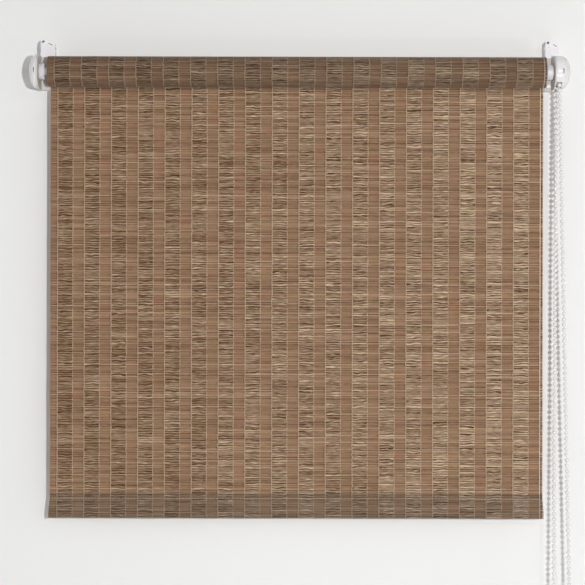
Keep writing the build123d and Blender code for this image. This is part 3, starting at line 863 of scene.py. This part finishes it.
# hem with the bar inside
hemFold = {
    "seamUp": 22.0,
    "rowsRound": 10,
    "clothThickness": 0.7,
    "lineHeight": 0.1,
    "bulge": 1.15,
    "puckerDepth": 0.14,
    "puckerReach": 1.8,
    "flareFrom": 262.0,
    "flareRun": 13.0,
    "flareLeft": 1.5,
    "flareRight": 1.0,
    "liningDeep": 12.0,  # how far the open ends can be seen into
    "stitchPitch": 3.4,
    "stitchLength": 2.7,
    "stitchThick": 0.32,
    "stitchLift": 0.62,
    "stitchSides": 6,
    "stitchRings": ((-0.5, 0.35), (-0.3, 0.9), (0.0, 1.0), (0.3, 0.9), (0.5, 0.35)),  # place and size along one
}


def hemColumns():
    # the cloth's own columns, with more between them for the puckers of the seam
    step = hemFold["stitchPitch"] / 3
    columns = []
    for (x, proud), (nextX, nextProud) in zip(clothColumns(), clothColumns()[1:]):
        parts = max(int((nextX - x) / step), 1)
        columns += [(x + (nextX - x) * k / parts, proud if k == 0 else min(proud, nextProud)) for k in range(parts)]
    return columns + [clothColumns()[-1]]


def hemWave(x):
    return 0.3 * noise.noise(Vector((x * 0.012, 1.7, 0.4)))


def hemOutline(bottom, top, half, seam):
    # outside of the fold from the top of the back, round the bottom, to the top of the front
    side = [(0.72, top), (0.8, top - 0.6), (0.78, seam + 1.4), (0.52, seam), (0.95, seam - 1.5),
            (half * 0.8, seam - 5), (half * 0.98, seam - 9), (half, bottom + 6)]
    turns = [math.pi * k / hemFold["rowsRound"] for k in range(1, hemFold["rowsRound"])]
    low = [(half * math.cos(turn), bottom + half * hemFold["bulge"] * (1 - math.sin(turn))) for turn in turns]
    return side + low + [(-out, z) for out, z in reversed(side)]


def buildHem():
    look = hemFold
    middle, bottom = sheetMiddle / mm, hemLow.z / mm
    seam = bottom + look["seamUp"]
    outline = hemOutline(bottom, hemHigh.z / mm, (hemHigh.y - hemLow.y) / 2 / mm, seam)
    columns = hemColumns()
    points = []
    for out, z in outline:
        low = between((seam - z) / 14, 0, 1)  # the fold spreads towards the bottom
        sign = 1 if out > 0 else -1
        for x, proud in columns:
            leftEnd, rightEnd = [max((side * x - look["flareFrom"]) / look["flareRun"], 0) for side in (-1, 1)]
            flare = x - leftEnd * look["flareLeft"] * low + rightEnd * look["flareRight"] * low
            pucker = look["puckerDepth"] * math.cos(2 * math.pi * x / look["stitchPitch"])
            pucker *= math.exp(-((z - seam) / look["puckerReach"]) ** 2)
            reach = out + sign * (proud * look["lineHeight"] + pucker) if abs(out) > 0.3 else out
            wave = hemWave(x) + 0.12 * noise.noise(Vector((x * 0.09, 5.7, 0.4)))
            points.append((flare, middle + reach, z + wave))
    wide, tall = len(columns), len(outline)
    faces = gridToFaces(0, wide, tall)
    # the open ends show the cloth's own thickness
    for column in (0, wide - 1):
        base = len(points)
        for row, (out, z) in enumerate(outline):
            inset = max(abs(out) - look["clothThickness"], 0.05) * (1 if out > 0 else -1)
            lift = look["clothThickness"] if z < bottom + 4 else 0.0
            points.append((points[row * wide + column][0], middle + inset, z + lift))
        deep = len(points)
        points += [(x - math.copysign(look["liningDeep"], x), y, z) for x, y, z in points[base:deep]]
        for row in range(tall - 1):
            a = row * wide + column
            faces.append((a, a + wide, base + row + 1, base + row))
            faces.append((base + row, base + row + 1, deep + row + 1, deep + row))
    return makePiece("hemFold", inMetres(points), faces, cloth["hemCloth"], sharpAngle=50)


def buildSeam():
    # one row of stitches on each face of the hem
    look = hemFold
    middle, seam = sheetMiddle / mm, hemLow.z / mm + look["seamUp"]
    sides, rings = look["stitchSides"], look["stitchRings"]
    points, faces = [], []
    for side in (-1, 1):
        for stitch in range(int(548 / look["stitchPitch"])):
            x = (stitch + 0.5) * look["stitchPitch"] - 274
            z = seam + hemWave(x) + 0.12 * noise.noise(Vector((x * 0.3, side, 0.9)))
            base = len(points)
            for place, size in rings:
                y = middle + side * (look["stitchLift"] + 0.12 * (1 - (2 * place) ** 2))
                for ringY, ringZ in roundOutline(y, z, look["stitchThick"] * size, sides):
                    points.append((x + place * look["stitchLength"], ringY, ringZ))
            faces += ringsToFaces(base, len(rings), sides)
            faces += [tuple(range(base, base + sides)), tuple(range(len(points) - sides, len(points)))]
    return makePiece("seamStitches", inMetres(points), faces, finish["stitchThread"], sharpAngle=60)


hem = buildHem()
seam = buildSeam()
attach(hem, "hanging_blind")
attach(seam, "hanging_blind")
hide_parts("hem_pocket")
print("hem made")


# covers of the two brackets
endCovers = {
    "steps": 96,
    "domeSteps": 22,
    "radius": 18.5,
    "edge": 0.5,
    "bore": 16.0,
    "left": {"side": -1, "rim": 1.4, "dome": 8.0, "floorX": -291.4, "slitX": -289.3},  # straight rim, then the dome
    "right": {"side": 1, "rim": 6.7, "dome": 10.5, "floorX": 293.6, "slitX": 292.4},
    "slitWidth": 1.0,
    "slitHeight": 5.2,
    "slitDepth": 3.8,
    "exitRun": (-1.0, 6.3),  # of the chain's exit, from the cover's seat
    "exitHalf": 14.3,
    "exitDrop": (30.0, 12.0),
}


def coverProfile(seat, side, rim, dome, floorX):
    # from the seat over a rounded rim and a round dome to the middle, then the room inside
    look = endCovers
    radius, edge, bore = look["radius"], look["edge"], look["bore"]
    shoulder = seat + side * rim
    out = [(seat, bore), (seat, radius - edge), (seat + side * edge * 0.3, radius - edge * 0.3),
           (seat + side * edge, radius), (shoulder, radius)]
    for k in range(1, look["domeSteps"]):
        turn = math.radians(90 * k / look["domeSteps"])
        out.append((shoulder + side * dome * math.sin(turn), radius * math.cos(turn)))
    return out + [(shoulder + side * dome, 0.0), (floorX, 0.0), (floorX, bore - 0.5), (floorX, bore), (seat, bore)]


def slitShape(x):
    # a small upright slit in the front of a cover
    look = endCovers
    y, z = axisY / mm - look["radius"], axisZ / mm
    wide, tall = look["slitWidth"] / 2, look["slitHeight"] / 2
    return boxShape((x - wide, y - 1, z - tall), (x + wide, y + look["slitDepth"], z + tall))


def exitShape(seat):
    # the opening under the right cover that lets the chain out
    (first, last), (low, high), half = endCovers["exitRun"], endCovers["exitDrop"], endCovers["exitHalf"]
    y, z = axisY / mm, axisZ / mm
    return boxShape((seat + first, y - half, z - low), (seat + last, y + half, z - high))


def buildCover(name, node, seat, cutters, side, rim, dome, floorX, slitX):
    points, faces = turnOnRoller(coverProfile(seat, side, rim, dome, floorX), endCovers["steps"])
    cover = makePiece(name, points, faces, finish["whitePlastic"])
    mendMesh(cover.data, 1e-6)
    cutAway(cover, cutters + [slitShape(slitX)])
    softenEdges(cover, 0.2, 50)
    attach(cover, "brackets")
    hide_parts(node)


leftSeat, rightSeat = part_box("left_cover")[1].x / mm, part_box("right_cover")[0].x / mm
buildCover("leftCover", "left_cover", leftSeat, [], **endCovers["left"])
buildCover("rightCover", "right_cover", rightSeat, [exitShape(rightSeat)], **endCovers["right"])
print("covers made")


# turned collar of the idle plug, with a neck beside the tube's end
idleCollar = {
    "profile": [(-285.3, 2.5), (-285.3, 8.2), (-285.1, 8.6), (-284.7, 8.8), (-279.8, 8.8), (-279.3, 8.7),
                (-279.0, 8.3), (-279.0, 4.5), (-276.4, 4.5), (-276.4, 7.95), (-258.8, 7.95), (-258.3, 7.5),
                (-258.3, 0.0), (-267.0, 0.0), (-267.0, 2.5), (-285.3, 2.5)],
    "steps": 72,
}
collarPoints, collarFaces = turnOnRoller(idleCollar["profile"], idleCollar["steps"])
collar = makePiece("idleCollar", collarPoints, collarFaces, finish["hubPlastic"])
mendMesh(collar.data, 1e-6)
collar.data.set_sharp_from_angle(angle=math.radians(40))
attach(collar, "roller")
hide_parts("idle_plug")
print("idle collar made")


# hooks: an upright plate with a sloped top corner, a web behind it and two low rails on the web
hangHooks = {
    "thick": 1.2,
    "topLeft": 6.8,
    "slopeFrom": 7.9,  # from the left edge
    "slopeEnd": 2.7,  # height of the top at the right edge
    "webLength": 12.0,
    "railHeight": 2.6,
    "railWidth": 1.2,
    "lowRailTop": 2.4,
    "holeRadius": 2.0,
    "fixRadius": 1.5,
    "slotFrom": 0.9,
    "slotDown": 1.15,
    "slotRun": 4.2,
    "slotWidth": 1.1,
    "stepHigh": 0.3,  # the raised field on the right hook
    "pinFromLeft": 3.0,
    "pinZ": 7.4,
    "pinRings": ((-1.85, 0.6), (-1.75, 1.1), (-1.45, 1.45), (-0.2, 1.5), (0.6, 1.45), (0.8, 0.7)),  # y and radius
    "pinSides": 16,
    "shadeStripInset": 0.12,
    "shadeStripY": (-1.28, -0.3),
}


def slotOutline(left, right, inset):
    # a short slot along the sloped corner of a hook's plate
    look = hangHooks
    startX, startZ = left + look["slopeFrom"] + look["slotFrom"] + inset, look["topLeft"] - look["slotDown"]
    slope = (look["slopeEnd"] + 0.35 - look["topLeft"]) / (right - left - look["slopeFrom"] - 1.0)
    run, half = look["slotRun"] - 2 * inset, look["slotWidth"] / 2 - inset * 0.6
    return [(startX, startZ - half), (startX + run, startZ + slope * run - half),
            (startX + run, startZ + slope * run + half), (startX, startZ + half)]


def hookCutters(left, right, holes):
    # a round hole for each screw, and the slot
    look = hangHooks
    cutters = []
    for node, radius in holes:
        low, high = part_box(node)
        outline = roundOutline((low.x + high.x) / 2 / mm, (low.z + high.z) / 2 / mm, radius)
        cutters.append(plateShape(outline, -look["thick"] - 0.5, 0.3))
    return cutters + [plateShape(slotOutline(left, right, 0.0), -look["thick"] - 0.6, 0.2)]


def buildHook(side, withStep, shift=0.0, trim=0.0):
    look = hangHooks
    low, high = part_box(f"{side}_hook")
    left, right, bottom = low.x / mm + shift, high.x / mm + shift - trim, low.z / mm
    thick, top, end, slopeFrom = look["thick"], look["topLeft"], look["slopeEnd"], left + look["slopeFrom"]
    outline = [(left, bottom), (right, bottom), (right, end), (right - 0.5, end + 0.35), (slopeFrom + 0.5, top - 0.25),
               (slopeFrom - 0.5, top), (left + 0.7, top), (left + 0.15, top - 0.2), (left, top - 0.7)]
    points, faces = plateShape(outline, -thick, 0.0)
    hook = makePiece(f"{side}Hook", inMetres(points), faces, finish["hookPaint"])
    holes = ((f"{side}_clamp_screw", look["holeRadius"]), (f"{side}_bracket_screw", look["fixRadius"]))
    cutAway(hook, hookCutters(left, right, holes))
    # the plate is cut alone, and the other shells join it afterwards
    web, rail, lowRail = look["webLength"], look["railWidth"], look["lowRailTop"]
    extras = [boxShape((left, 0.0, 0.0), (right, web, thick)),
              boxShape((left, 0.0, thick), (left + rail, web, thick + look["railHeight"])),
              boxShape((right - rail, 0.0, thick), (right, web, lowRail))]
    if withStep:
        raised = [(left + 6.2, -8.6), (right - 0.3, -8.6), (right - 0.3, 2.4), (left + 9.4, 4.2), (left + 6.2, 4.2)]
        extras.append(plateShape(raised, -thick - look["stepHigh"], -thick))
    tool = bmesh.new()
    tool.from_mesh(hook.data)
    for extraPoints, extraFaces in extras:
        made = [tool.verts.new(point) for point in inMetres(extraPoints)]
        for face in extraFaces:
            tool.faces.new([made[index] for index in face])
    bmesh.ops.recalc_face_normals(tool, faces=tool.faces)
    tool.to_mesh(hook.data)
    tool.free()
    shadeSoft(hook.data)
    softenEdges(hook, 0.22)
    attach(hook, "brackets")
    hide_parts(f"{side}_hook")
    return hook


def buildTopPin(name, hook):
    # small dark stop pin in the top edge of the hook's plate, and a dark strip in its slot that paints the slot's
    # shade
    look = hangHooks
    left, right = hook.bound_box[0][0] / mm, hook.bound_box[6][0] / mm
    sides, rings = look["pinSides"], look["pinRings"]
    points = []
    for y, radius in rings:
        points += [(x, y, z) for x, z in roundOutline(left + look["pinFromLeft"], look["pinZ"], radius, sides)]
    faces = ringsToFaces(0, len(rings), sides)
    faces += [tuple(range(sides)), tuple(range(len(points) - sides, len(points)))]
    shadeStripPoints, shadeStripFaces = plateShape(slotOutline(left, right, look["shadeStripInset"]), *look["shadeStripY"])
    faces += [tuple(len(points) + index for index in face) for face in shadeStripFaces]
    pin = makePiece(name, inMetres(points + shadeStripPoints), faces, finish["pinMetal"], sharpAngle=60)
    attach(pin, "brackets")


leftHook = buildHook("left", False)
rightHook = buildHook("right", True, shift=-1.0, trim=0.7)
buildTopPin("leftTopPin", leftHook)
buildTopPin("rightTopPin", rightHook)
print("hooks made")


# CAD parts that keep their shape, with the finish and the soft edge of each
pairedParts = {
    "jaw": ("hookPaint", 0.3), "jaw_pad": ("padRubber", 0.15), "clamp_screw": ("hookPaint", 0.12),
    "bracket_screw": ("screwMetal", 0.12), "bracket": ("mattPlastic", 0.25), "bar_cap": ("whitePlastic", 0.2),
}
singleParts = {
    "drive_hub": "hubPlastic", "idle_pin": "screwMetal", "clutch_core": "whitePlastic",
    "clutch_spring": "springMetal", "chain_wheel": "whitePlastic", "chain_connector": "clearPlastic",
    "roller_tube": "tubeMetal", "bottom_bar": "barMetal",
}


def dressNode(name, finishName, edge=0.2):
    node = cadNodes[name]
    node.data.materials.clear()
    node.data.materials.append(finish[finishName])
    weld = node.modifiers.new("joinPoints", "WELD")
    weld.merge_threshold = 1e-6
    softenEdges(node, edge)


for side in ("left", "right"):
    for name, (finishName, edge) in pairedParts.items():
        dressNode(f"{side}_{name}", finishName, edge)
for name, finishName in singleParts.items():
    dressNode(name, finishName)
print("CAD parts dressed")


# stage: plain floor and backdrop, and a plain light from the front
studio = {
    "backY": 0.0275,
    "backHalf": 3.0,
    "backTop": 2.0,
    "floorZ": -1.46,
    "floorHalf": 6.0,
    "paleColor": paint(243, 243, 242),
    "worldLevel": 0.3,
}
# name, place, aim, width and power; the two glints draw the thin highlights of the smooth rims
studioLamps = (
    ("leftFill", (-2.2, -1.8, 0.2), (0, 0, -0.27), 1.6, 4.2),
    ("rightFill", (2.3, -1.5, 0.1), (0, 0, -0.27), 1.6, 4.5),
    ("upperGlint", (0.58, -1.95, 0.21), (0.28, 0, -0.03), 0.04, 1.8),
    ("lowerGlint", (0.44, -1.0, -0.53), (0.28, 0, -0.03), 0.03, 0.54),
    ("backLight", (-0.3, 2.4, 0.1), (0, 0, -0.27), 1.6, 16.0),
    ("keyLight", (0.26, -1.95, -0.22), (0, 0, -0.27), 0.03, 19.2),
)


def makeStageMaterial(name, seeThroughBack):
    material, tree, shader = startMaterial(name, Base_Color=studio["paleColor"], Roughness=0.9, Specular_IOR_Level=0.1)
    if seeThroughBack:
        clear = tree.nodes.new("ShaderNodeBsdfTransparent")
        mix = tree.nodes.new("ShaderNodeMixShader")
        side = tree.nodes.new("ShaderNodeNewGeometry")
        tree.links.new(side.outputs["Backfacing"], mix.inputs[0])
        tree.links.new(tree.nodes["Principled BSDF"].outputs[0], mix.inputs[1])
        tree.links.new(clear.outputs[0], mix.inputs[2])
        tree.links.new(mix.outputs[0], tree.nodes["Material Output"].inputs["Surface"])
    return material


def addStagePlane(name, corners, material):
    mesh = bpy.data.meshes.new(name)
    mesh.from_pydata(corners, [], [(0, 1, 2, 3)])
    plane = bpy.data.objects.new(name, mesh)
    bpy.context.scene.collection.objects.link(plane)
    mesh.materials.append(material)
    return plane


floorZ, reach = studio["floorZ"], studio["floorHalf"]
floorCorners = [(-reach, -reach, floorZ), (reach, -reach, floorZ), (reach, reach, floorZ), (-reach, reach, floorZ)]
addStagePlane("floor", floorCorners, makeStageMaterial("floorPaint", False))
backY, half, backTop = studio["backY"], studio["backHalf"], studio["backTop"]
backCorners = [(-half, backY, floorZ), (half, backY, floorZ), (half, backY, backTop), (-half, backY, backTop)]
backdrop = addStagePlane("wall", backCorners, makeStageMaterial("wallPaint", True))
backdrop.visible_shadow = False
for name, place, aim, width, power in studioLamps:
    light = bpy.data.lights.new(name, "AREA")
    light.shape = "DISK"
    light.size = width
    light.energy = power
    holder = bpy.data.objects.new(name, light)
    bpy.context.scene.collection.objects.link(holder)
    holder.location = place
    holder.rotation_mode = "QUATERNION"
    holder.rotation_quaternion = (Vector(aim) - Vector(place)).to_track_quat("-Z", "Y")

# white to the camera and in reflections, and a dimmer light on the object
world = bpy.data.worlds.new("studioWorld")
bpy.context.scene.world = world
world.use_nodes = True
worldTree = world.node_tree
sky = worldTree.nodes["Background"].inputs
rays = worldTree.nodes.new("ShaderNodeLightPath").outputs
mirrored = calc(worldTree, "MAXIMUM", rays["Is Glossy Ray"], rays["Is Transmission Ray"])
seen = calc(worldTree, "MAXIMUM", rays["Is Camera Ray"], mirrored)
feed(worldTree, sky["Strength"], spread(worldTree, seen, 0.0, 1.0, studio["worldLevel"], 1.0))
sky["Color"].default_value = (1, 1, 1, 1)
bpy.context.scene.view_settings.view_transform = "Standard"
print("stage and lights set")
